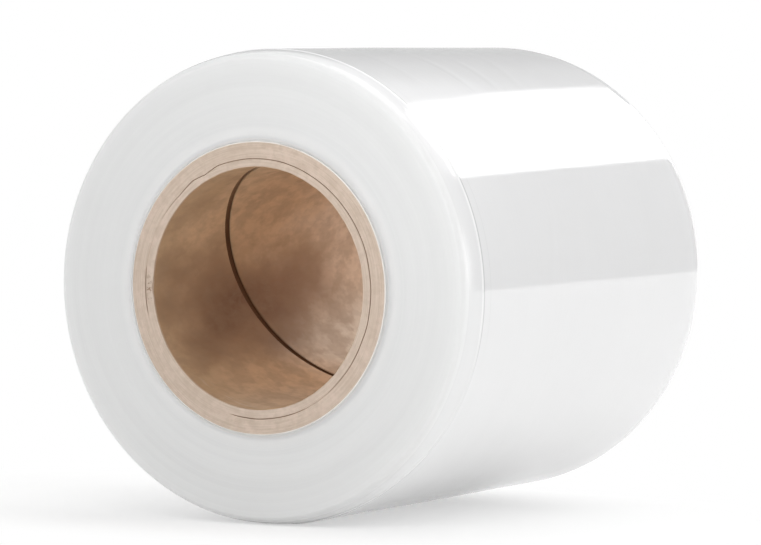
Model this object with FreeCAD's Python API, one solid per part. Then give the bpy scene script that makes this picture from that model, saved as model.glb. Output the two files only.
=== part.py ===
import FreeCAD, Part
import math
import os

from FreeCAD import Vector

# A small hand roll of clear stretch wrap, lying on its side: a spiral-wound paperboard core
# with a film wound on it. The axis of the roll runs along Y, its seen end looks along -Y,
# and the origin is under the middle of the roll, on what it lies on. Lengths are in millimetres,
# and clock angles are in degrees, clockwise from 12 o'clock as the seen end shows them.

# Paperboard core
core_bore = 50.0
core_wall = 5.25
core_overhang = 0.6  # how far each end of the core stands out of the film
core_edge_bevel = 0.3

# Seam of the core's innermost ply: a helical gap between two edges of one paper strip
seam_width = 1.7
seam_depth = 0.5
seam_pitch = 116.0
seam_clock = 16.0  # where it leaves the seen end

# Line between two plies on each cut end of the core
ply_line_inset = 1.75  # from the bore's wall
ply_line_width = 0.2
ply_line_depth = 0.35
ply_line_clock = 258.0  # where the open stretch starts
ply_line_sweep = 296.0

# Film
film_diameter = 98.5
film_width = 110.0
front_shoulder_drop = 1.9
front_shoulder_run = 6.2
back_shoulder_drop = 3.0
back_shoulder_run = 4.0
shoulder_chords = 5
edge_step = 0.15  # the outermost turns are narrower and end in a small step on the shoulder

# The wound ends: bands of turns that lean a little in and out, so that faint rings show
turn_bands = 6
turn_wander = 0.14
turn_phase = 2.4  # radians from one band to the next, so that no two neighbours are level
back_phase = 0.9

# Thicker and thinner lanes of the film build up into low rings on the side
gauge_lanes = 5
gauge_rise = 0.12
gauge_phase = 2.1

# Where the soft roll has lain, its underside is a little flat
flat_width = 13.0

# Sizes that follow
bore_radius = core_bore / 2
core_radius = bore_radius + core_wall
film_radius = film_diameter / 2
core_length = film_width + 2 * core_overhang
axis_height = math.sqrt(film_radius ** 2 - (flat_width / 2) ** 2)
tool_reach = 2.0  # how far a cutting shape runs past what it cuts
drawn_clock = 90.0  # sections are drawn on the X side of the axis, at 3 o'clock

os.makedirs("parts", exist_ok=True)


def section_wire(points):
    """Closed outline through points given as pairs: distance from the axis, and place along it."""
    corners = [Vector(radius, y, 0) for radius, y in points]
    return Part.makePolygon(corners + corners[:1])


def turned(points, sweep=360.0):
    """Solid of revolution round the Y axis from a closed outline."""
    section = Part.Face(section_wire(points))
    return section.revolve(Vector(0, 0, 0), Vector(0, 1, 0), sweep)


def at_clock(shape, clock):
    """The shape turned round the axis, so that what was drawn at 3 o'clock stands at the clock angle."""
    shape.rotate(Vector(0, 0, 0), Vector(0, 1, 0), clock - drawn_clock)
    return shape


def lifted(shape):
    """The shape with the roll's axis at its height over what the roll lies on."""
    shape.translate(Vector(0, 0, axis_height))
    return shape


def tube_blank():
    """Plain core tube: its bore's edges are knife-sharp, and its outer ones are worn to a bevel."""
    end_y = core_length / 2
    return turned([
        (bore_radius, -end_y),
        (core_radius - core_edge_bevel, -end_y),
        (core_radius, core_edge_bevel - end_y),
        (core_radius, end_y - core_edge_bevel),
        (core_radius - core_edge_bevel, end_y),
        (bore_radius, end_y),
    ])


def seam_cutter():
    """Helical bar that cuts the seam's groove into the bore's wall, from end to end."""
    slope = math.atan(seam_pitch / (math.pi * core_bore))
    half_width = seam_width / math.cos(slope) / 2
    run = core_length + 2 * tool_reach
    left_handed = True
    helix = Part.makeHelix(seam_pitch, run, bore_radius, 0, left_handed)
    corners = [
        Vector(bore_radius - seam_depth, 0, -half_width),
        Vector(bore_radius + seam_depth, 0, -half_width),
        Vector(bore_radius + seam_depth, 0, half_width),
        Vector(bore_radius - seam_depth, 0, half_width),
    ]
    profile = Part.makePolygon(corners + corners[:1])
    bar = Part.Wire(helix.Edges).makePipeShell([profile], True, True)
    bar.rotate(Vector(0, 0, 0), Vector(1, 0, 0), -90)
    bar.translate(Vector(0, -run / 2, 0))
    lead_in = tool_reach / seam_pitch * 360
    return at_clock(bar, seam_clock + lead_in)


def ply_line_cutter(end):
    """Open ring that cuts the line between two plies into one end of the core: -1 seen, 1 far."""
    inner = bore_radius + ply_line_inset
    outer = inner + ply_line_width
    bottom_y = end * (core_length / 2 - ply_line_depth)
    top_y = end * (core_length / 2 + tool_reach)
    ring = turned([(inner, bottom_y), (outer, bottom_y), (outer, top_y), (inner, top_y)], ply_line_sweep)
    return at_clock(ring, ply_line_clock)


def make_core_tube():
    """Spiral-wound paperboard tube with its inner seam and its ply lines."""
    tube = tube_blank()
    tube = tube.cut(seam_cutter())
    tube = tube.cut(ply_line_cutter(-1))
    tube = tube.cut(ply_line_cutter(1))
    return lifted(tube)


def wound_end(end, drop, run, phase):
    """Outline of one end of the film, from the core out over the shoulder to the edge's step."""
    face_y = end * film_width / 2
    foot = film_radius - gauge_rise - edge_step
    rim = foot - drop
    points = []
    for number in range(turn_bands):
        radius = core_radius + (rim - core_radius) * number / turn_bands
        depth = turn_wander * (1 - math.cos(turn_phase * number + phase)) / 2
        points.append((radius, face_y - end * depth))
    for number in range(shoulder_chords + 1):
        turn = math.pi / 2 * number / shoulder_chords
        points.append((rim + drop * math.sin(turn), face_y - end * run * (1 - math.cos(turn))))
    return points


def side_lanes(start_y, end_y):
    """Outline of the film's long side, with the low rings of its gauge lanes."""
    points = [(film_radius - gauge_rise, start_y)]
    for number in range(1, gauge_lanes):
        lane = (1 + math.sin(gauge_phase * number)) / 2
        points.append((film_radius - gauge_rise * lane, start_y + (end_y - start_y) * number / gauge_lanes))
    points.append((film_radius - gauge_rise, end_y))
    return points


def make_film_roll():
    """All turns of the film as one solid, with rounded shoulders and a flat underside."""
    front = wound_end(-1, front_shoulder_drop, front_shoulder_run, 0)
    back = wound_end(1, back_shoulder_drop, back_shoulder_run, back_phase)
    side = side_lanes(front_shoulder_run - film_width / 2, film_width / 2 - back_shoulder_run)
    roll = lifted(turned(front + side + back[::-1]))
    below = Part.makeBox(
        film_diameter, film_width + 2 * tool_reach, film_radius,
        Vector(-film_radius, -film_width / 2 - tool_reach, -film_radius),
    )
    return roll.cut(below)


nodes = {
    "core_tube": make_core_tube(),
    "film_roll": make_film_roll(),
}
for name, shape in nodes.items():
    shape.Solids[0].exportStep(f"parts/{name}.step")
    print(name, "solids", len(shape.Solids), "valid", shape.isValid(), "volume cm3", round(shape.Volume / 1000, 2))
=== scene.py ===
# %% [markdown]
# # A roll of stretch wrap
#
# A small hand roll lies on its side on a white table: a spiral-wound paperboard core, and clear film
# wound on it some nine hundred times. So much clear film on top of itself looks milky white, and only
# its smooth outer turns are glossy. The lesson makes two pieces, the film and the core, and then the
# photo studio that the gloss mirrors.
#
# The roll's axis runs along Y, the end that the camera sees looks along -Y, and lengths are in metres.
# Places round the axis are told as on a clock: 0 degrees is the top, and 90 degrees is at +X.

# %% Load the frame
import math

import bpy
import numpy as np
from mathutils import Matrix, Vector, noise


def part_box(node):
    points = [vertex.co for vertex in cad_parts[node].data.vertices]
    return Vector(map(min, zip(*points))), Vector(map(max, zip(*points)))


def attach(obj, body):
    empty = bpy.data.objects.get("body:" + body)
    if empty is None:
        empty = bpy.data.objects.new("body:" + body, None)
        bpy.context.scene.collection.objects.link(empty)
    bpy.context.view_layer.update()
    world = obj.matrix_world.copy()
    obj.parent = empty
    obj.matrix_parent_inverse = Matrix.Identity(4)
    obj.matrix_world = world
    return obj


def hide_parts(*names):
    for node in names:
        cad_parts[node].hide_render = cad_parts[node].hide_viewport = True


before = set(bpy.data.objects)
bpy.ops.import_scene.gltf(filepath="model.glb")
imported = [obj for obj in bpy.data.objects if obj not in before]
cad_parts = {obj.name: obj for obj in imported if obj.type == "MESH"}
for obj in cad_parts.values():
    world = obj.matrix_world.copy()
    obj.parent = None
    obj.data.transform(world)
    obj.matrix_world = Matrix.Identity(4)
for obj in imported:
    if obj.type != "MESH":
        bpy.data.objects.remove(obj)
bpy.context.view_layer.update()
core_low, core_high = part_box("core_tube")

# %% [markdown]
# ## Sizes
#
# The solids of the frame give the outer sizes. The rest are the roll's own: the bore, the rounded
# shoulders of the film, and the seam that the innermost strip of paper leaves in the bore.

# %% Sizes of the roll
film_radius = 0.04925
film_width = 0.110
flat_width = 0.013
axis_height = math.sqrt(film_radius ** 2 - (flat_width / 2) ** 2)
core_radius = 0.03025
bore_radius = 0.025
core_length = core_high.y - core_low.y
front_y = -film_width / 2
back_y = film_width / 2
axis_point = Vector((0, 0, axis_height))
print("axis height in mm", round(1000 * axis_height, 2), "core length", round(1000 * core_length, 2))

# %% [markdown]
# ## Helpers
#
# All modelling goes through the same few steps: select nothing, add a primitive, go into edit mode,
# select by place, and run an operator. The helpers below do the selecting. Reading and writing all
# points of a mesh at once, as one array, is what makes sculpting in code quick.

# %% Select and read
def only(piece):
    """Make one object the only selected one and the active one."""
    if bpy.context.object and bpy.context.object.mode == "EDIT":
        bpy.ops.object.mode_set(mode="OBJECT")
    bpy.ops.object.select_all(action="DESELECT")
    piece.select_set(True)
    bpy.context.view_layer.objects.active = piece


def pick(piece, kind, test):
    """In edit mode, select the points, edges or faces whose middle passes the test, and count them."""
    bpy.ops.object.mode_set(mode="EDIT")
    bpy.ops.mesh.select_mode(type=kind)
    bpy.ops.mesh.select_all(action="DESELECT")
    bpy.ops.object.mode_set(mode="OBJECT")
    points = piece.data.vertices
    count = 0
    if kind == "VERT":
        for point in points:
            point.select = bool(test(point.co))
            count += point.select
    elif kind == "EDGE":
        for edge in piece.data.edges:
            ends = [points[number].co for number in edge.vertices]
            edge.select = bool(test(*ends))
            count += edge.select
    else:
        for face in piece.data.polygons:
            face.select = bool(test(face.center))
            count += face.select
    bpy.ops.object.mode_set(mode="EDIT")
    return count


def read_points(piece):
    """All points of the mesh as an array, one row each."""
    points = np.zeros(len(piece.data.vertices) * 3, np.float32)
    piece.data.vertices.foreach_get("co", points)
    return points.reshape(-1, 3).astype(float)


def write_points(piece, points):
    piece.data.vertices.foreach_set("co", points.astype(np.float32).ravel())
    piece.data.update()


def triangles(piece):
    return sum(len(face.vertices) - 2 for face in piece.data.polygons)


def soft_step(low, high, value):
    """0 below low, 1 above high, and a smooth rise between them."""
    share = np.clip((value - low) / (high - low), 0, 1)
    return share * share * (3 - 2 * share)


def clock_of(points):
    """Clock angle of each point round the roll's axis, from -180 to 180 degrees."""
    return np.degrees(np.arctan2(points[:, 0], points[:, 2] - axis_height))


# %% [markdown]
# ## The film
#
# The film could be a lathe profile drawn point by point. Here its half section starts as one plane,
# from the core's surface to the outer turns, so that the winding machine's simple block of film is
# still plain to see. Bevels round its two outer corners. The turns there slid outwards when the roll
# was wound, more over the width at the front than at the back.

# %% Half section of the film
shoulder_foot = film_radius - 0.00027
front_drop = 0.0019
front_run = 0.0062
back_drop = 0.0030
back_run = 0.0040

bpy.ops.object.select_all(action="DESELECT")
bpy.ops.mesh.primitive_plane_add(size=1, location=((core_radius + shoulder_foot) / 2, 0, axis_height))
film = bpy.context.object
film.name = "film"
film.data.name = "film"
bpy.ops.object.mode_set(mode="EDIT")
bpy.ops.transform.resize(value=(shoulder_foot - core_radius, film_width, 1))
bpy.ops.object.mode_set(mode="OBJECT")
bpy.ops.object.transform_apply(location=True, rotation=True, scale=True)


def round_corner(corner_y, run, drop, segments):
    """Bevel one outer corner of the section, then flatten the round so that it drops less than it runs."""
    pick(film, "VERT", lambda at: at.x > shoulder_foot - 1e-5 and abs(at.y - corner_y) < 1e-5)
    bpy.ops.mesh.bevel(offset=run, segments=segments, profile=0.5, affect="VERTICES")
    pick(film, "VERT", lambda at: at.x > core_radius + 1e-4 and abs(at.y - corner_y) < run - 1e-6)
    bpy.ops.transform.resize(value=(drop / run, 1, 1), center_override=(shoulder_foot, 0, axis_height))


round_corner(front_y, front_run, front_drop, 22)
round_corner(back_y, back_run, back_drop, 14)
bpy.ops.mesh.select_all(action="SELECT")
bpy.ops.mesh.delete(type="ONLY_FACE")
bpy.ops.object.mode_set(mode="OBJECT")
print("points of the rounded section", len(film.data.vertices))

# %% [markdown]
# The relief comes later, by moving points, and can only be as fine as the outline is. So the long
# runs are divided, the side finest near the seen edge, where the outermost turns end in a small step.

# %% Divide the section
def divide(test, cuts):
    """Divide the edges whose two ends pass the test."""
    count = pick(film, "EDGE", test)
    bpy.ops.mesh.subdivide(number_cuts=cuts)
    return count


def on_end(y):
    return lambda one, two: abs(one.y - y) < 1e-6 and abs(two.y - y) < 1e-6


def on_side(one, two):
    return min(one.x, two.x) > shoulder_foot - 1e-6


divide(on_end(front_y), 37)
divide(on_end(back_y), 27)
divide(on_side, 1)
edge_zone = front_y + 0.0102
bpy.ops.object.mode_set(mode="OBJECT")
for point in film.data.vertices:
    if point.co.x > shoulder_foot - 1e-6 and abs(point.co.y) < 0.01:
        point.co.y = edge_zone
divide(lambda one, two: on_side(one, two) and max(one.y, two.y) < edge_zone + 1e-6, 31)
divide(lambda one, two: on_side(one, two) and min(one.y, two.y) > edge_zone - 1e-6, 124)
bpy.ops.object.mode_set(mode="OBJECT")
print("points of the divided section", len(film.data.vertices))

# %% [markdown]
# Spin turns the outline once round the axis. Its first and last copies lie on each other, so they
# are merged before the normals are made to look outwards.

# %% Spin the film
turn_steps = 360
only(film)
bpy.ops.object.mode_set(mode="EDIT")
bpy.ops.mesh.select_mode(type="VERT")
bpy.ops.mesh.select_all(action="SELECT")
bpy.ops.mesh.spin(steps=turn_steps, angle=2 * math.pi, center=axis_point, axis=(0, 1, 0))
bpy.ops.mesh.select_all(action="SELECT")
bpy.ops.mesh.remove_doubles(threshold=1e-6)
bpy.ops.mesh.normals_make_consistent(inside=False)
bpy.ops.object.mode_set(mode="OBJECT")
print("film triangles", triangles(film))

# %% [markdown]
# ## Shape the film
#
# A wound roll is never a true cylinder. Slightly thick lanes of the film add up over hundreds of
# turns to low rings, the wound ends wander in and out a little, and the last few turns are narrower
# than the rest, so that they end in a small step on the shoulder. That edge runs true at the top and
# wanders to the front further down. Loose outer turns also pucker.
# Sculpting would do this by hand. In code each is a small sum of distances added to every point.

# %% Rings, steps and wander
gauge_rise = 0.00012
edge_step = 0.00015
points = read_points(film)
radius = np.hypot(points[:, 0], points[:, 2] - axis_height)
clock = clock_of(points)
along = points[:, 1].copy()
outwards = np.stack([points[:, 0], np.zeros(len(points)), points[:, 2] - axis_height], 1) / radius[:, None]

edge_y = front_y + front_run
low_wander = soft_step(118, 150, clock) * (1 - soft_step(172, 179, clock))
slow_wave = 0.00012 * np.sin(np.radians(3 * clock + 40))
quick_wave = 0.00008 * np.sin(np.radians(7 * clock))
wander = -0.0011 * low_wander + slow_wave + quick_wave
near_edge = np.exp(-((along - edge_y) / 0.003) ** 2) * (radius > shoulder_foot - 0.0006)
points[:, 1] += wander * near_edge

side_share = soft_step(edge_y - 0.00012, edge_y + 0.00012, along) * (radius > shoulder_foot - 1e-5)
side_end = back_y - back_run
lane_marks = [edge_y + (side_end - edge_y) * number / 5 for number in range(6)]
lane_heights = [gauge_rise * (1 - (1 + math.sin(2.1 * number)) / 2) for number in range(6)]
lane_heights[0] = lane_heights[5] = 0
lanes = np.interp(along, lane_marks, lane_heights)
back_fade = 1 - soft_step(back_y - back_run - 0.0012, back_y - back_run, along)
rise = side_share * (edge_step + lanes) * back_fade

ring_share = (radius - core_radius) / (shoulder_foot - core_radius)
on_end_face = np.abs(points[:, 1]) > film_width / 2 - 0.0004
on_face = on_end_face * soft_step(core_radius, core_radius + 0.0008, radius)
broad_rings = 0.00007 * (1 - np.cos(14.4 * ring_share + 0.9 * (along > 0)))
rings = broad_rings + 0.00002 * (1 + np.sin(61 * ring_share))
rim = 0.00054 * np.exp(-((radius - core_radius) / 0.0007) ** 2) * on_end_face
points[:, 1] += np.where(along < 0, 1, -1) * (rings * on_face - rim)
points += outwards * rise[:, None]
write_points(film, points)

# %% [markdown]
# The cut edge of the outermost turns catches the light, and a thin shadow lies beside it. Both are
# narrower than the mesh can show at every clock angle, so their strength is stored on the mesh, above
# zero for the light line and below it for the shadow, and the film's material colours them.

# %% Light and shadow of the last turns' edge
past_edge = along - edge_y
on_shoulder = radius > shoulder_foot - 0.0006
upper_part = soft_step(15, 40, clock) * (1 - soft_step(90, 115, clock))
clear_edge = 0.2 + 0.8 * upper_part + 0.8 * soft_step(125, 140, clock)
light_line = np.exp(-((past_edge + 0.00005) / 0.00022) ** 2)
lip_line = light_line - np.exp(-((past_edge - 0.00042) / 0.00020) ** 2)
for line_y, line_share in ((-0.0484, 0.5), (-0.0457, 0.4)):
    lip_line -= line_share * np.exp(-((along - line_y) / 0.00013) ** 2)
lip_values = film.data.attributes.new("lip_line", "FLOAT", "POINT")
lip_values.data.foreach_set("value", (lip_line * clear_edge * on_shoulder).astype(np.float32))
largest = float(np.hypot(points[:, 0], points[:, 2] - axis_height).max())
print("largest radius in mm", round(1000 * largest, 3))

# %% [markdown]
# Puckers of the last turns run slantwise from the seen edge at the top. Each is a long shallow furrow
# between two places, given by their clock angles and their places along the roll.

# %% Puckers and fine lines of the side
puckers = [
    (14, -0.0118, 37, -0.0140, 0.0011, 0.00005),
    (17, 0.0005, 37, -0.0030, 0.0012, 0.00005),
    (16, 0.0160, 36, 0.0075, 0.0013, 0.00004),
    (10, -0.0300, 34, -0.0330, 0.0014, 0.00003),
    (69, -0.0140, 92, -0.0195, 0.0009, 0.00003),
    (101, -0.0290, 121, 0.0010, 0.0016, 0.00003),
    (108, -0.0380, 126, -0.0100, 0.0018, 0.00003),
]
arc = np.radians(clock) * film_radius
for start_clock, start_y, end_clock, end_y, wide, high in puckers:
    start = np.array([math.radians(start_clock) * film_radius, start_y])
    end = np.array([math.radians(end_clock) * film_radius, end_y])
    run = end - start
    place = np.stack([arc, points[:, 1]], 1) - start
    share = np.clip(place @ run / (run @ run), 0, 1)
    off = np.linalg.norm(place - share[:, None] * run, axis=1)
    faded = np.sin(np.pi * np.clip(share, 0.02, 0.98))
    points -= outwards * (side_share * high * np.exp(-(off / wide) ** 2) * faded)[:, None]
points[:, 2] = np.maximum(points[:, 2], 0)
write_points(film, points)
for face in film.data.polygons:
    face.use_smooth = True
print("flat underside in mm", round(2000 * float(np.abs(points[points[:, 2] < 1e-6][:, 0]).max()), 2))

# %% [markdown]
# ## The core
#
# A paper tube is wound from strips of board that run round it like a barber's pole. The innermost
# strip leaves one open seam, a left-handed helix. A helical groove can be cut with a solid, but the
# mesh stays cleaner if its own columns follow the seam. So the bore starts as a plain cylinder with
# no ends, its rows are turned a little more each, and then two neighbouring columns are the seam.

# %% Bore of the core
seam_pitch = 0.116
seam_depth = 0.0005
seam_clock = 16.0
columns = 324
seam_columns = 6
rows = 84

only(film)
bpy.ops.object.select_all(action="DESELECT")
bpy.ops.mesh.primitive_cylinder_add(
    vertices=columns, radius=bore_radius, depth=core_length, end_fill_type="NOTHING",
    location=axis_point, rotation=(math.pi / 2, 0, 0))
core = bpy.context.object
core.name = "core"
core.data.name = "core"
bpy.ops.object.transform_apply(location=True, rotation=True, scale=True)
pick(core, "EDGE", lambda one, two: abs(one.y - two.y) > core_length / 2)
bpy.ops.mesh.subdivide(number_cuts=rows - 1)
bpy.ops.object.mode_set(mode="OBJECT")
print("bore faces", len(core.data.polygons))

# %% [markdown]
# The first column is brought to the seam's place at the seen end. From there the seam turns against
# the clock as it goes in, once in every pitch.

# %% Twist the bore along its seam
points = read_points(core)
clock = clock_of(points)
column_step = 360 / columns
first = clock[np.abs(points[:, 1] - core_low.y) < 1e-6]
shift = seam_clock - first[np.argmin(np.abs(first - seam_clock))]
turned_by = np.radians(shift - (points[:, 1] - core_low.y) / seam_pitch * 360)
angle = np.radians(clock) + turned_by
points[:, 0] = bore_radius * np.sin(angle)
points[:, 2] = axis_height + bore_radius * np.cos(angle)
write_points(core, points)


def seam_turn(at):
    """How far a place in the bore is from the seam's middle, in degrees round the axis."""
    clock_here = math.degrees(math.atan2(at.x, at.z - axis_height))
    seam_here = seam_clock - (at.y - core_low.y) / seam_pitch * 360
    return (clock_here - seam_here + 180) % 360 - 180


count = pick(core, "FACE", lambda at: abs(seam_turn(at)) < column_step * seam_columns / 2)
print("seam faces", count, "columns are", round(1000 * math.radians(column_step) * bore_radius, 2), "mm wide")

# %% [markdown]
# The seam's faces are pushed into the wall. Extruding also closes the groove's two mouths with a
# sliver of wall each, which would look like a plug, so those go. Each cut end is then built outwards,
# ring by ring, by extruding the open edge away from the axis. The first ring is as wide as the seam
# is deep, so that the groove stays open, and the rings come closer together along the ply lines.

# %% Groove of the seam
def radius_at(at):
    return math.hypot(at.x, at.z - axis_height)


def push_out(new_radius, new_y=None):
    """Bring the selected points to a new distance from the axis, and if asked to a new place along it."""
    bpy.ops.object.mode_set(mode="OBJECT")
    for point in core.data.vertices:
        if point.select:
            flat = Vector((point.co.x, 0, point.co.z - axis_height)).normalized() * new_radius
            point.co = Vector((flat.x, point.co.y if new_y is None else new_y, axis_height + flat.z))


bpy.ops.mesh.extrude_region()
push_out(bore_radius + seam_depth)
mouths = pick(core, "FACE", lambda at: abs(at.y) > core_high.y - 1e-6)
bpy.ops.mesh.delete(type="ONLY_FACE")
bpy.ops.object.mode_set(mode="OBJECT")
print("slivers taken out of the seam's mouths", mouths)

# %% Cut ends of the tube
ply_inset = 0.00185
ring_insets = [seam_depth, 0.0008, 0.0012, 0.0015, 0.00172, 0.00180, 0.00190, 0.00198, 0.0022, 0.0026,
               0.00290, 0.00300, 0.00310, 0.0035, 0.00395, 0.00402, 0.00410, 0.0045, 0.00495]
def pick_outermost(end_y, inset):
    """Select the points of one cut end from this far outside the bore's wall."""
    pick(core, "VERT", lambda at: abs(at.y - end_y) < 1e-6 and radius_at(at) > bore_radius + inset - 1e-6)


for end_y in (core_low.y, core_high.y):
    pick(core, "VERT", lambda at: abs(at.y - end_y) < 1e-6 and radius_at(at) < bore_radius + 1e-6)
    bpy.ops.mesh.extrude_region()
    push_out(bore_radius + ring_insets[0])
    bpy.ops.object.mode_set(mode="EDIT")
    bpy.ops.mesh.select_all(action="SELECT")
    bpy.ops.mesh.remove_doubles(threshold=1e-6)
    for before, inset in zip(ring_insets, ring_insets[1:]):
        pick_outermost(end_y, before)
        bpy.ops.mesh.extrude_region()
        push_out(bore_radius + inset)
    pick_outermost(end_y, ring_insets[-1])
    bpy.ops.mesh.extrude_region()
    push_out(core_radius, end_y - math.copysign(0.0003, end_y))
pick(core, "VERT", lambda at: radius_at(at) > core_radius - 1e-6)
bpy.ops.mesh.select_mode(type="EDGE")
bpy.ops.mesh.bridge_edge_loops()
bpy.ops.mesh.select_all(action="SELECT")
bpy.ops.mesh.normals_make_consistent(inside=False)
bpy.ops.object.mode_set(mode="OBJECT")
print("core triangles", triangles(core))

# %% [markdown]
# Saw-cut board is never crisp. The cut frays a little along the bore, the plies part along one line
# that wanders round the end, and a small bite is missing at nine o'clock. The seam opens a little
# wider further in, and its floor closes up towards its two mouths. All of it is sculpted with smooth
# noise, which looks the same on every run.

# %% Sculpt the core
def ripple(places, size, seed):
    """Smooth noise between about -1 and 1 at each place, with bumps of the given size in metres."""
    offset = Vector((seed, 2 * seed, 3 * seed))
    return np.array([noise.noise(Vector(place) / size + offset) for place in places])


points = read_points(core)
radius = np.hypot(points[:, 0], points[:, 2] - axis_height)
clock = clock_of(points)
outwards = np.stack([points[:, 0], np.zeros(len(points)), points[:, 2] - axis_height], 1) / radius[:, None]
to_end = core_high.y - np.abs(points[:, 1])
in_bore = radius < bore_radius + seam_depth + 1e-6
on_cut = (to_end < 1e-6) & (radius > bore_radius + seam_depth - 1e-6)
inset = radius - bore_radius

seam_middle = seam_clock - (points[:, 1] - core_low.y) / seam_pitch * 360
from_seam = (clock - seam_middle + 180) % 360 - 180
depth_share = np.clip((points[:, 1] - core_low.y) / 0.06, 0, 1)
near_seam = np.exp(-(from_seam / 9) ** 2) * in_bore * soft_step(0.0, 0.001, to_end)
widen = from_seam * (0.45 * depth_share - 0.2) * near_seam
turned = np.radians(clock + widen)
points[:, 0] = np.where(widen != 0, radius * np.sin(turned), points[:, 0])
points[:, 2] = np.where(widen != 0, axis_height + radius * np.cos(turned), points[:, 2])
outwards = np.stack([points[:, 0], np.zeros(len(points)), points[:, 2] - axis_height], 1) / radius[:, None]

fray = ripple(points, 0.0016, 3.0) * 0.00011 + ripple(points, 0.006, 5.0) * 0.00012
fray_share = np.exp(-to_end / 0.0007) * np.clip(1 - inset / 0.0012, 0, 1)
dents = ripple(points, 0.007, 7.0) * 0.00005 * (1 - np.exp(-to_end / 0.002)) * in_bore
from_bite = np.abs((clock - (-91) + 180) % 360 - 180)
bite_share = np.clip(1 - inset / 0.0014, 0, 1) * np.exp(-to_end / 0.0005)
bite = 0.00035 * np.exp(-(from_bite / 3.2) ** 2) * bite_share
half_seam = column_step * (seam_columns / 2 + 0.2)
seam_floor = (np.abs(inset - seam_depth) < 1e-5) & (np.abs(from_seam) < half_seam)
mouth = -0.0003 * np.exp(-to_end / 0.0009) * seam_floor
points += outwards * (fray * fray_share + dents + mouth + bite * (points[:, 1] < 0))[:, None]

line_clocks = [-180, -160, -120, -98, -80, -60, -45, -35, -28, -20, -10, 0, 30, 60, 90, 120, 150, 180]
line_shares = [0.36, 0.35, 0.34, 0.37, 0.355, 0.34, 0.26, 0.32, 0.23, 0.33, 0.30, 0.31,
               0.30, 0.33, 0.35, 0.33, 0.35, 0.36]
line_wander = np.interp(clock, line_clocks, line_shares) * (core_radius - bore_radius) - ply_inset
round_the_end = [np.cos(np.radians(clock)), np.sin(np.radians(clock)), points[:, 1] * 20]
line_wander += ripple(np.stack(round_the_end, 1), 0.15, 1.0) * 0.00008
near_lines = np.exp(-((inset - 0.0021) / 0.0011) ** 2) * on_cut
points += outwards * (line_wander * near_lines)[:, None]
open_clocks = [0, 60, 110, 130, 150, 165, 190, 197, 254, 262, 273, 279, 300, 312, 325, 360]
open_shares = [0.7, 1.0, 1.0, 0.6, 0.3, 0.8, 0.8, 0.0, 0.0, 1.0, 1.0, 0.35, 0.3, 0.5, 0.8, 0.7]
line_open = np.interp(clock % 360, open_clocks, open_shares)
in_line = (np.abs(inset - ply_inset) < 0.00006) & on_cut
fine_line = ((np.abs(inset - 0.0030) < 0.00002) | (np.abs(inset - 0.00402) < 0.00002)) & on_cut
fine_open = 0.5 + 0.5 * np.sin(np.radians(2 * clock))
sunk = 0.00026 * in_line * line_open + 0.00006 * fine_line * fine_open
grain = ripple(points, 0.0011, 9.0) * 0.00003 * on_cut
points[:, 1] += np.where(points[:, 1] < 0, 1, -1) * (sunk + np.abs(grain))
write_points(core, points)
only(core)
bpy.ops.object.shade_smooth_by_angle(angle=math.radians(38))
print("points on the cut ends", int(on_cut.sum()), "in the ply line", int(in_line.sum()))

# %% [markdown]
# ## Where a place is on the roll
#
# Both materials need the same facts at each place: how far it is from the axis, its clock angle, how
# far along it lies, and a place for patterns that run in rings. That last one is the direction from
# the axis together with the distance, so it has no seam. They could be stored on the mesh, but a small
# node group works them out from the object's own coordinates, and every material can then use it.

# %% Node helpers
def link_all(tree, *pairs):
    for source, target in pairs:
        tree.links.new(source, target)


def maths(tree, operation, *values):
    """A Math node whose inputs are numbers or other nodes' outputs. Gives its output."""
    node = tree.nodes.new("ShaderNodeMath")
    node.operation = operation
    for socket, value in zip(node.inputs, values):
        if isinstance(value, (int, float)):
            socket.default_value = value
        else:
            tree.links.new(value, socket)
    return node.outputs[0]


def ramp(tree, value, low, high, to_low=0.0, to_high=1.0):
    """Smooth change from to_low to to_high while the value goes from low to high."""
    node = tree.nodes.new("ShaderNodeMapRange")
    node.interpolation_type = "SMOOTHSTEP"
    tree.links.new(value, node.inputs["Value"])
    node.inputs["From Min"].default_value = low
    node.inputs["From Max"].default_value = high
    node.inputs["To Min"].default_value = to_low
    node.inputs["To Max"].default_value = to_high
    return node.outputs["Result"]


def blend_colour(tree, share, one, two):
    """Mix two colours, each a triple or another node's output."""
    node = tree.nodes.new("ShaderNodeMix")
    node.data_type = "RGBA"
    for socket, value in ((node.inputs[6], one), (node.inputs[7], two)):
        if isinstance(value, tuple):
            socket.default_value = (*value, 1)
        else:
            tree.links.new(value, socket)
    if isinstance(share, (int, float)):
        node.inputs[0].default_value = share
    else:
        tree.links.new(share, node.inputs[0])
    return node.outputs[2]


def cloud(tree, place, scale, detail=2.0, roughness=0.5, distortion=0.0):
    """Noise texture. Gives its value, about 0.5 on average."""
    node = tree.nodes.new("ShaderNodeTexNoise")
    tree.links.new(place, node.inputs["Vector"])
    node.inputs["Scale"].default_value = scale
    node.inputs["Detail"].default_value = detail
    node.inputs["Roughness"].default_value = roughness
    node.inputs["Distortion"].default_value = distortion
    return node.outputs["Fac"]


def new_group(name, outputs):
    tree = bpy.data.node_groups.new(name, "ShaderNodeTree")
    for label, kind in outputs:
        tree.interface.new_socket(name=label, in_out="OUTPUT", socket_type=kind)
    return tree, tree.nodes.new("NodeGroupOutput")


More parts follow.
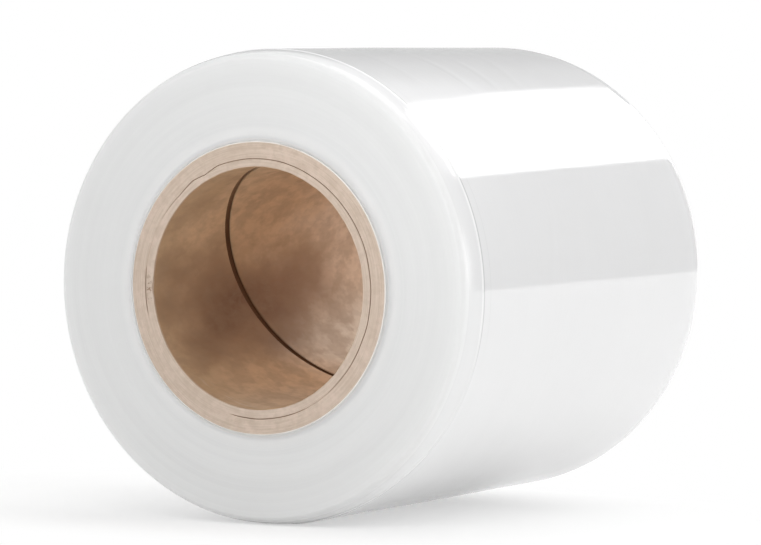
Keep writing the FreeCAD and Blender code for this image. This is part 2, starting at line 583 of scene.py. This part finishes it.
# %% Group: place on the roll
roll_place, place_out = new_group("place_on_the_roll", [
    ("From Axis", "NodeSocketFloat"), ("Clock", "NodeSocketFloat"), ("Along", "NodeSocketFloat"),
    ("Ringed", "NodeSocketVector")])
coordinates = roll_place.nodes.new("ShaderNodeTexCoord")
parts = roll_place.nodes.new("ShaderNodeSeparateXYZ")
link_all(roll_place, (coordinates.outputs["Object"], parts.inputs[0]))
height = maths(roll_place, "SUBTRACT", parts.outputs["Z"], axis_height)
squares = maths(roll_place, "ADD", maths(roll_place, "MULTIPLY", parts.outputs["X"], parts.outputs["X"]),
                maths(roll_place, "MULTIPLY", height, height))
from_axis = maths(roll_place, "SQRT", squares)
turn = maths(roll_place, "ARCTAN2", parts.outputs["X"], height)
clock_node = maths(roll_place, "MULTIPLY", turn, 180 / math.pi)
ringed = roll_place.nodes.new("ShaderNodeCombineXYZ")
link_all(roll_place,
         (maths(roll_place, "DIVIDE", parts.outputs["X"], from_axis), ringed.inputs["X"]),
         (maths(roll_place, "DIVIDE", height, from_axis), ringed.inputs["Y"]),
         (from_axis, ringed.inputs["Z"]),
         (from_axis, place_out.inputs["From Axis"]),
         (clock_node, place_out.inputs["Clock"]),
         (parts.outputs["Y"], place_out.inputs["Along"]),
         (ringed.outputs[0], place_out.inputs["Ringed"]))
print("outputs of the group", [socket.name for socket in place_out.inputs if socket.name])


# %% New material with the group in it
def new_material(name):
    material = bpy.data.materials.new(name)
    material.use_nodes = True
    tree = material.node_tree
    shader = tree.nodes["Principled BSDF"]
    place = tree.nodes.new("ShaderNodeGroup")
    place.node_tree = roll_place
    objects = tree.nodes.new("ShaderNodeTexCoord").outputs["Object"]
    return material, tree, shader, place.outputs, objects


def stretched(tree, place, scale):
    """The place with each direction scaled, so that a pattern runs long in one of them."""
    node = tree.nodes.new("ShaderNodeVectorMath")
    node.operation = "MULTIPLY"
    tree.links.new(place, node.inputs[0])
    node.inputs[1].default_value = scale
    return node.outputs[0]


def bump(tree, height, strength, distance, under=None):
    node = tree.nodes.new("ShaderNodeBump")
    node.inputs["Strength"].default_value = strength
    node.inputs["Distance"].default_value = distance
    tree.links.new(height, node.inputs["Height"])
    if under is not None:
        tree.links.new(under, node.inputs["Normal"])
    return node.outputs["Normal"]


# %% [markdown]
# ## Film material
#
# Wound film is clear plastic with a little air between its turns, so light goes in, scatters and
# comes out again nearby. A glass shader on nine hundred turns would be slow and noisy. A white body
# with some subsurface scattering has the same soft look. The side is smooth and mirrors the room, and
# the ends are the cut edges of all the turns, so they are matt, with fine rings.

# %% Stretch film
film_paint, tree, shader, place, objects = new_material("stretch_film")
side_share = ramp(tree, place["From Axis"], film_radius - 0.0016, film_radius - 0.0003)
rings = cloud(tree, stretched(tree, place["Ringed"], (0.2, 0.2, 2600)), 1.0, 3.0, 0.6)
broad_rings = cloud(tree, stretched(tree, place["Ringed"], (0.4, 0.4, 420)), 1.0, 2.0, 0.5)
ring_mix = maths(tree, "ADD", maths(tree, "MULTIPLY", rings, 0.5), maths(tree, "MULTIPLY", broad_rings, 0.5))
end_colour = blend_colour(tree, ramp(tree, ring_mix, 0.35, 0.65), (0.812, 0.815, 0.815), (0.836, 0.84, 0.838))
haze = cloud(tree, stretched(tree, objects, (25, 55, 25)), 1.0, 3.0, 0.55)
side_colour = blend_colour(tree, haze, (0.82, 0.82, 0.825), (0.848, 0.848, 0.852))
# Painted light: the end is coloured lighter towards the core, against the shade that falls next to it.
painted_light_near_core = ramp(tree, place["From Axis"], core_radius + 0.0036, core_radius)
end_colour = blend_colour(tree, painted_light_near_core, end_colour, (0.98, 0.975, 0.965))
# Painted highlight: a thin light ring on the film right at the core.
painted_highlight_at_core = ramp(tree, place["From Axis"], core_radius + 0.0007, core_radius + 0.0005)
end_colour = blend_colour(tree, painted_highlight_at_core, end_colour, (1.0, 0.98, 0.95))
film_colour = blend_colour(tree, side_share, end_colour, side_colour)
lip = tree.nodes.new("ShaderNodeAttribute")
lip.attribute_name = "lip_line"
film_colour = blend_colour(tree, ramp(tree, lip.outputs["Fac"], 0.0, 1.0), film_colour, (0.96, 0.96, 0.96))
film_colour = blend_colour(tree, ramp(tree, lip.outputs["Fac"], 0.0, -1.0), film_colour, (0.64, 0.64, 0.645))
link_all(tree, (film_colour, shader.inputs["Base Color"]))
dull = cloud(tree, stretched(tree, objects, (40, 160, 40)), 1.0, 3.0, 0.5)
side_rough = ramp(tree, dull, 0.3, 0.75, 0.035, 0.085)
end_rough = ramp(tree, rings, 0.3, 0.7, 0.42, 0.52)
rough = maths(tree, "ADD", maths(tree, "MULTIPLY", side_rough, side_share),
              maths(tree, "MULTIPLY", end_rough, maths(tree, "SUBTRACT", 1.0, side_share)))
link_all(tree, (rough, shader.inputs["Roughness"]))
lanes = cloud(tree, stretched(tree, objects, (2.5, 900, 2.5)), 1.0, 4.0, 0.6)
soft_lanes = cloud(tree, stretched(tree, objects, (9, 60, 9)), 1.0, 2.0, 0.5)
all_lanes = maths(tree, "ADD", maths(tree, "MULTIPLY", lanes, 0.28), soft_lanes)
lane_height = maths(tree, "MULTIPLY", all_lanes, side_share)
ring_height = maths(tree, "MULTIPLY", ring_mix, maths(tree, "SUBTRACT", 1.0, side_share))
ripples = cloud(tree, stretched(tree, objects, (34, 120, 34)), 1.0, 2.0, 0.5)
lane_height = maths(tree, "ADD", lane_height, maths(tree, "MULTIPLY", ripples, 0.35))
side_bump = bump(tree, lane_height, 0.5, 0.00009)
link_all(tree, (bump(tree, ring_height, 0.35, 0.0001, side_bump), shader.inputs["Normal"]))
shader.inputs["IOR"].default_value = 1.57
shader.inputs["Subsurface Weight"].default_value = 0.8
shader.inputs["Subsurface Radius"].default_value = (1.0, 1.0, 1.0)
shader.inputs["Subsurface Scale"].default_value = 0.004
film.data.materials.clear()
film.data.materials.append(film_paint)
print("film material nodes", len(tree.nodes))

# %% [markdown]
# ## Paperboard material
#
# The core is brown recycled board. Its cut ends are sanded pale by the saw and show the plies as fine rings.
# The bore's liner is browner, mottled and fibrous, and the seam between its strips shows the dark glued ply
# below, darkened further by painted shade of the groove. The liner also carries painted light and shade:
# darker near the seen mouth, lighter and greyer further in and at the bottom near the mouth, and a painted
# shade patch at nine o'clock. A painted highlight runs round the outer edge of the cut ends. One material
# tells the three apart by place.

# %% Paperboard
board_paint, tree, shader, place, objects = new_material("paperboard")
end_distance = maths(tree, "SUBTRACT", core_high.y, maths(tree, "ABSOLUTE", place["Along"]))
wall_depth = maths(tree, "SUBTRACT", place["From Axis"], bore_radius)
cut_share = maths(tree, "MULTIPLY", ramp(tree, end_distance, 0.0006, 0.00035),
                  ramp(tree, wall_depth, -0.0002, 0.0002))

mottle = cloud(tree, stretched(tree, objects, (230, 130, 230)), 1.0, 3.0, 0.6)
patch = cloud(tree, stretched(tree, objects, (60, 30, 60)), 1.0, 4.0, 0.5)
fibre = cloud(tree, stretched(tree, objects, (900, 260, 900)), 1.0, 4.0, 0.65, 0.6)
strays = maths(tree, "SUBTRACT", patch, 0.5)
depth_in = maths(tree, "ADD", place["Along"], maths(tree, "MULTIPLY", strays, 0.05))


def spot(clock, along, clock_reach, along_reach):
    """1 in the middle of a soft round spot of the bore's wall, and 0 outside it. Its outline strays."""
    sideways = maths(tree, "DIVIDE", maths(tree, "SUBTRACT", place["Clock"], clock), clock_reach)
    lengthways = maths(tree, "DIVIDE", maths(tree, "SUBTRACT", place["Along"], along), along_reach)
    squares = maths(tree, "ADD", maths(tree, "MULTIPLY", sideways, sideways),
                    maths(tree, "MULTIPLY", lengthways, lengthways))
    return ramp(tree, maths(tree, "ADD", maths(tree, "SQRT", squares), strays), 1.0, 0.1)


def tint(under, share, strength, colour):
    """The colour under it with another laid over it, where the share says and as strong as told."""
    return blend_colour(tree, maths(tree, "MULTIPLY", share, strength), under, colour)


# Painted light in the liner: darker near the seen mouth, and lighter and greyer further in, where light from
# the far mouth falls.
liner_painted_depth_light = blend_colour(tree, ramp(tree, depth_in, -0.054, -0.036), (0.55, 0.37, 0.22), (0.73, 0.51, 0.32))
liner_painted_depth_light = blend_colour(tree, ramp(tree, depth_in, -0.010, 0.022), liner_painted_depth_light, (0.78, 0.61, 0.475))
# Painted light: a pale grey patch deep in the bore at about eight o'clock.
liner = blend_colour(tree, spot(-128, 0.014, 38, 0.038), liner_painted_depth_light, (0.86, 0.78, 0.68))
# Painted light: the bottom of the bore near the seen mouth is lighter, where light from above falls in.
liner = tint(liner, spot(-172, -0.035, 30, 0.040), 0.5, (0.72, 0.58, 0.44))
# Painted shade: a dark patch on the wall at about nine o'clock, part way in, where little light reaches.
liner = tint(liner, spot(-102, -0.023, 48, 0.052), 0.95, (0.205, 0.105, 0.056))
liner = tint(liner, spot(-96, 0.000, 24, 0.026), 0.6, (0.30, 0.17, 0.10))
small_mottle = cloud(tree, stretched(tree, objects, (640, 330, 640)), 1.0, 2.0, 0.5)
liner = blend_colour(tree, ramp(tree, mottle, 0.58, 0.38, 0.0, 0.34), liner, (0.36, 0.24, 0.15))
liner = blend_colour(tree, ramp(tree, small_mottle, 0.60, 0.38, 0.0, 0.16), liner, (0.36, 0.24, 0.15))
liner = blend_colour(tree, ramp(tree, fibre, 0.5, 0.8, 0.0, 0.10), liner, (0.50, 0.38, 0.28))
scuffs = cloud(tree, stretched(tree, objects, (240, 1300, 240)), 1.0, 2.0, 0.5)
scuffed = maths(tree, "MULTIPLY", ramp(tree, scuffs, 0.48, 0.70, 0.0, 0.55), spot(-165, -0.0515, 36, 0.0045))
liner = blend_colour(tree, scuffed, liner, (0.72, 0.60, 0.48))

plies = cloud(tree, stretched(tree, place["Ringed"], (2.2, 2.2, 3600)), 1.0, 3.0, 0.55)
cut_mottle = cloud(tree, objects, 330, 4.0, 0.65)
cut_end = blend_colour(tree, ramp(tree, plies, 0.38, 0.62), (0.610, 0.490, 0.395), (0.685, 0.560, 0.465))
cut_end = blend_colour(tree, ramp(tree, cut_mottle, 0.45, 0.70, 0.0, 0.7), cut_end, (0.735, 0.590, 0.495))
cut_end = blend_colour(tree, ramp(tree, small_mottle, 0.55, 0.36, 0.0, 0.35), cut_end, (0.55, 0.43, 0.34))


def between(value, low_edge, high_edge):
    """1 between two soft edges, each told as the values where it starts and ends, and 0 elsewhere."""
    return maths(tree, "MULTIPLY", ramp(tree, value, *low_edge), ramp(tree, value, *high_edge))


in_ply_line = maths(tree, "MULTIPLY", ramp(tree, end_distance, 0.00007, 0.00016),
                    between(wall_depth, (0.0009, 0.0011), (0.0027, 0.0025)))
cut_end = blend_colour(tree, in_ply_line, cut_end, (0.36, 0.25, 0.18))
# Darker flecks in the bite at nine o'clock.
dark_flecks_in_bite = maths(tree, "MULTIPLY", ramp(tree, cloud(tree, objects, 1500, 2.0, 0.6), 0.50, 0.60),
               spot(-91, core_low.y, 9, 0.004))
dark_flecks_in_bite = maths(tree, "MULTIPLY", dark_flecks_in_bite, between(wall_depth, (0.0003, 0.0006), (0.0018, 0.0014)))
cut_end = blend_colour(tree, dark_flecks_in_bite, cut_end, (0.34, 0.23, 0.16))
board = blend_colour(tree, cut_share, liner, cut_end)
wall = core_radius - bore_radius
# Painted highlight: a thin light line round the outer edge of each cut end.
painted_highlight_outer_edge = ramp(tree, wall_depth, wall - 0.00032, wall - 0.00018)
board = blend_colour(tree, painted_highlight_outer_edge, board, (0.95, 0.92, 0.88))

seam_start = seam_clock + core_low.y / seam_pitch * 360
seam_here = maths(tree, "SUBTRACT", seam_start, maths(tree, "MULTIPLY", place["Along"], 360 / seam_pitch))
turn_off = maths(tree, "SUBTRACT", place["Clock"], seam_here)
half_turn_on = maths(tree, "ADD", turn_off, 180.0)
wrapped = maths(tree, "SUBTRACT", maths(tree, "FLOORED_MODULO", half_turn_on, 360.0), 180.0)
# The seam is coloured dark: partly the glued ply below, partly painted shade of the groove. It is weaker near
# the seen mouth.
seam_ply_and_shade = maths(tree, "MULTIPLY", ramp(tree, wall_depth, 0.00012, 0.00035),
                ramp(tree, maths(tree, "ABSOLUTE", wrapped), 5.5, 4.6))
seam_ply_and_shade = maths(tree, "MULTIPLY", seam_ply_and_shade, ramp(tree, place["Along"], -0.055, -0.026, 0.35, 1.0))
seam_ply_and_shade = maths(tree, "MULTIPLY", seam_ply_and_shade, ramp(tree, end_distance, 0.00005, 0.00030))
board = blend_colour(tree, seam_ply_and_shade, board, (0.14, 0.07, 0.035))
link_all(tree, (board, shader.inputs["Base Color"]))
shader.inputs["Roughness"].default_value = 0.85
shader.inputs["Specular IOR Level"].default_value = 0.3
fibre_height = maths(tree, "ADD", maths(tree, "MULTIPLY", fibre, 0.5), maths(tree, "MULTIPLY", mottle, 0.8))
rough_cut = maths(tree, "MULTIPLY", plies, cut_share)
board_bump = bump(tree, maths(tree, "ADD", fibre_height, rough_cut), 0.5, 0.00018)
link_all(tree, (board_bump, shader.inputs["Normal"]))
core.data.materials.clear()
core.data.materials.append(board_paint)
print("paperboard material nodes", len(tree.nodes))

# %% [markdown]
# ## On the frame
#
# Nothing on a roll moves, so both pieces ride on the one body, each in the place of its own solid.

# %% Fasten the pieces to the frame
for piece, node, slot in ((film, "film_roll", "stretch_film"), (core, "core_tube", "paperboard")):
    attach(piece, "root")
    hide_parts(node)
print("pieces", [piece.name for piece in (film, core)])

# %% [markdown]
# ## Camera
#
# The photograph was taken with a long lens from almost a metre away, to the right of the roll's end
# and a little above it. The camera's place was worked out from the outlines of the bore, the core and
# the two ends of the film.

# %% Camera
bpy.context.scene.view_settings.view_transform = "Standard"
camera_data = bpy.data.cameras.new("camera")
camera_data.lens = 219.12
camera_data.sensor_width = 36
camera = bpy.data.objects.new("camera", camera_data)
camera.location = (0.48498, -0.87129, 0.10016)
camera.rotation_euler = (math.radians(90 - 2.901), 0, math.radians(29.201))
bpy.context.scene.collection.objects.link(camera)
bpy.context.scene.camera = camera

# %% [markdown]
# ## Floor
#
# The studio's white floor runs into a white wall with no edge. A far edge or a grey floor would show,
# so away from the roll the floor turns into plain white for the camera and for reflections. Near the
# roll about half of it is a true matt surface, which keeps the shadow. The zone is longer across the
# picture than into it, as the shadow is.

# %% Floor
only(film)
bpy.ops.object.select_all(action="DESELECT")
bpy.ops.mesh.primitive_plane_add(size=8, location=(0, 0, -0.00005))
floor = bpy.context.object
floor.name = "floor"
floor_paint = bpy.data.materials.new("floor_white")
floor_paint.use_nodes = True
tree = floor_paint.node_tree
shader = tree.nodes["Principled BSDF"]
shader.inputs["Base Color"].default_value = (0.93, 0.93, 0.925, 1)
shader.inputs["Roughness"].default_value = 0.9
shader.inputs["Specular IOR Level"].default_value = 0.0
coordinates = tree.nodes.new("ShaderNodeTexCoord")
shadow_middle = tree.nodes.new("ShaderNodeVectorMath")
shadow_middle.operation = "SUBTRACT"
shadow_middle.inputs[1].default_value = (-0.010, -0.025, 0)
distance = tree.nodes.new("ShaderNodeVectorMath")
distance.operation = "LENGTH"
link_all(tree, (coordinates.outputs["Object"], shadow_middle.inputs[0]),
         (stretched(tree, shadow_middle.outputs[0], (0.4, 1, 1)), distance.inputs[0]))
far_share = ramp(tree, distance.outputs["Value"], 0.03, 0.066, 0.52, 1.0)


def seen_rays(tree):
    """1 for rays of the camera, of reflections and through clear things, and 0 for those that light."""
    rays = tree.nodes.new("ShaderNodeLightPath").outputs
    mirrored = maths(tree, "MAXIMUM", rays["Is Glossy Ray"], rays["Is Transmission Ray"])
    return maths(tree, "MAXIMUM", rays["Is Camera Ray"], mirrored)


seen = seen_rays(tree)
white = tree.nodes.new("ShaderNodeEmission")
white.inputs["Color"].default_value = (1, 1, 1, 1)
mix = tree.nodes.new("ShaderNodeMixShader")
link_all(tree, (maths(tree, "MULTIPLY", seen, far_share), mix.inputs[0]), (shader.outputs[0], mix.inputs[1]),
         (white.outputs[0], mix.inputs[2]), (mix.outputs[0], tree.nodes["Material Output"].inputs["Surface"]))
floor.data.materials.append(floor_paint)

# %% [markdown]
# ## Light
#
# Gloss shows the studio. The white band on the roll's side is a large softbox behind and above it,
# the grey band under it is the dark wall beside the softbox, and the brighter band below is the
# floor. Dark and grey cards stand where the photograph's reflections say, and only reflections see
# them. A black flag before the roll keeps some of the room's light off the seen end, as the dark side
# of a studio does. The white room gives even light all round.
#
# Three smaller lamps do the rest. One from above lifts the top of the side, one near the camera
# brightens the upper part of the seen end, and one shines through the core from its far mouth. That
# last one stands just inside the bore, so that it burns nothing out on the far end.

# %% World
world = bpy.data.worlds.new("studio")
bpy.context.scene.world = world
world.use_nodes = True
tree = world.node_tree
room = tree.nodes["Background"]
room.inputs["Color"].default_value = (1.0, 1.0, 1.0, 1)
seen = seen_rays(tree)
room.inputs["Strength"].default_value = 0.81
white = tree.nodes.new("ShaderNodeBackground")
white.inputs["Color"].default_value = (1, 1, 1, 1)
mix = tree.nodes.new("ShaderNodeMixShader")
link_all(tree, (seen, mix.inputs[0]), (room.outputs[0], mix.inputs[1]), (white.outputs[0], mix.inputs[2]),
         (mix.outputs[0], tree.nodes["World Output"].inputs["Surface"]))


# %% Softboxes and cards
def room_place(side_turn, elevation, distance):
    """Place in the room seen from the roll: degrees from +Y towards +X, degrees up, and metres away."""
    turn, up = math.radians(side_turn), math.radians(elevation)
    direction = Vector((math.sin(turn) * math.cos(up), math.cos(turn) * math.cos(up), math.sin(up)))
    return axis_point + distance * direction


def softbox(name, side_turn, elevation, distance, wide, high, brightness, colour=(1, 1, 1)):
    """Rectangular lamp that faces the roll. Its brightness is what a mirror would show of it."""
    lamp = bpy.data.lights.new(name, "AREA")
    lamp.shape = "RECTANGLE"
    lamp.size = wide
    lamp.size_y = high
    lamp.energy = brightness * math.pi * wide * high
    lamp.color = colour
    body = bpy.data.objects.new(name, lamp)
    body.location = room_place(side_turn, elevation, distance)
    body.rotation_euler = (axis_point - body.location).to_track_quat("-Z", "Y").to_euler()
    body.visible_camera = False
    bpy.context.scene.collection.objects.link(body)
    return body


def card(name, left_edge, right_edge, heights, distance, brightness):
    """Upright curved card round the roll, seen by reflections only. Its two side edges are turns
    that follow the height, and its brightness is told at its foot, its middle and its top."""
    bpy.ops.object.select_all(action="DESELECT")
    steps = 12
    bpy.ops.mesh.primitive_grid_add(x_subdivisions=steps, y_subdivisions=len(heights) - 1, size=1)
    body = bpy.context.object
    body.name = name
    points = read_points(body)
    rows_up = np.rint((points[:, 1] + 0.5) * (len(heights) - 1)).astype(int)
    share = points[:, 0] + 0.5
    for number, (row, part) in enumerate(zip(rows_up, share)):
        height = heights[row]
        turn = math.radians(left_edge(height) * (1 - part) + right_edge(height) * part)
        points[number] = (distance * math.sin(turn), distance * math.cos(turn), height)
    write_points(body, points)
    paint = bpy.data.materials.new(name)
    paint.use_nodes = True
    tree = paint.node_tree
    place = tree.nodes.new("ShaderNodeTexCoord").outputs["Object"]
    parts = tree.nodes.new("ShaderNodeSeparateXYZ")
    glow = tree.nodes.new("ShaderNodeEmission")
    foot, middle, top = brightness
    level = maths(tree, "ADD", ramp(tree, parts.outputs["Z"], 0.05, 0.45, foot, middle),
                  ramp(tree, parts.outputs["Z"], 0.57, 0.67, 0.0, top - middle))
    link_all(tree, (place, parts.inputs[0]), (level, glow.inputs["Strength"]),
             (glow.outputs[0], tree.nodes["Material Output"].inputs["Surface"]))
    body.data.materials.append(paint)
    body.visible_camera = False
    body.visible_diffuse = False
    body.visible_shadow = False
    body.visible_transmission = False
    return body


softbox("softbox_back", 6, 29, 1.5, 0.97, 0.92, 2.0)
softbox("softbox_top", 10, 70, 1.0, 0.6, 0.6, 1.4)
softbox("softbox_right", 72, 8, 1.3, 1.0, 0.34, 3.8)
softbox("softbox_near", 160, 23, 0.22, 0.08, 0.08, 4.0)
lamp_through = softbox("lamp_through", 6, 0, 0.0546, 0.034, 0.034, 1.32)
lamp_through.data.spread = math.radians(100)
lamp_through.rotation_euler = (-math.pi / 2, 0, 0)


def ragged(height, wave):
    """Degrees by which a curtain's edge strays at a height: three waves, each shorter and smaller."""
    return sum(math.sin(2 * math.pi * height / (wave * part) + 3 * part) * part for part in (1.0, 0.43, 0.19))


def dark_edge(height):
    return max(8, 16.4 + (height - 0.4725) / 0.0102) + 0.75 * ragged(height, 0.0094)


def grey_edge(height):
    return -6.95 + max(0, height - 0.615) * 47 + 1.2 * ragged(height, 0.027)


dark_heights = [0.0, 0.36, 0.40, 0.43] + [0.45 + 0.0008 * number for number in range(100)]
dark_heights += [0.55, 0.62, 0.70, 0.90]
grey_heights = [0.0, 0.10, 0.25, 0.40, 0.50] + [0.54 + 0.003 * number for number in range(60)]
grey_heights += [0.75, 0.90, 1.20]
card("card_dark", dark_edge, lambda height: 75, dark_heights, 1.07, (0.05, 0.05, 0.05))
card("card_grey", lambda height: -120, grey_edge, grey_heights, 1.07, (0.70, 0.36, 0.74))
flag = card("flag_front", lambda height: 95, lambda height: 168, (-0.01, 1.4), 1.6, (0.0, 0.0, 0.0))
flag.visible_diffuse = True
flag.visible_shadow = True
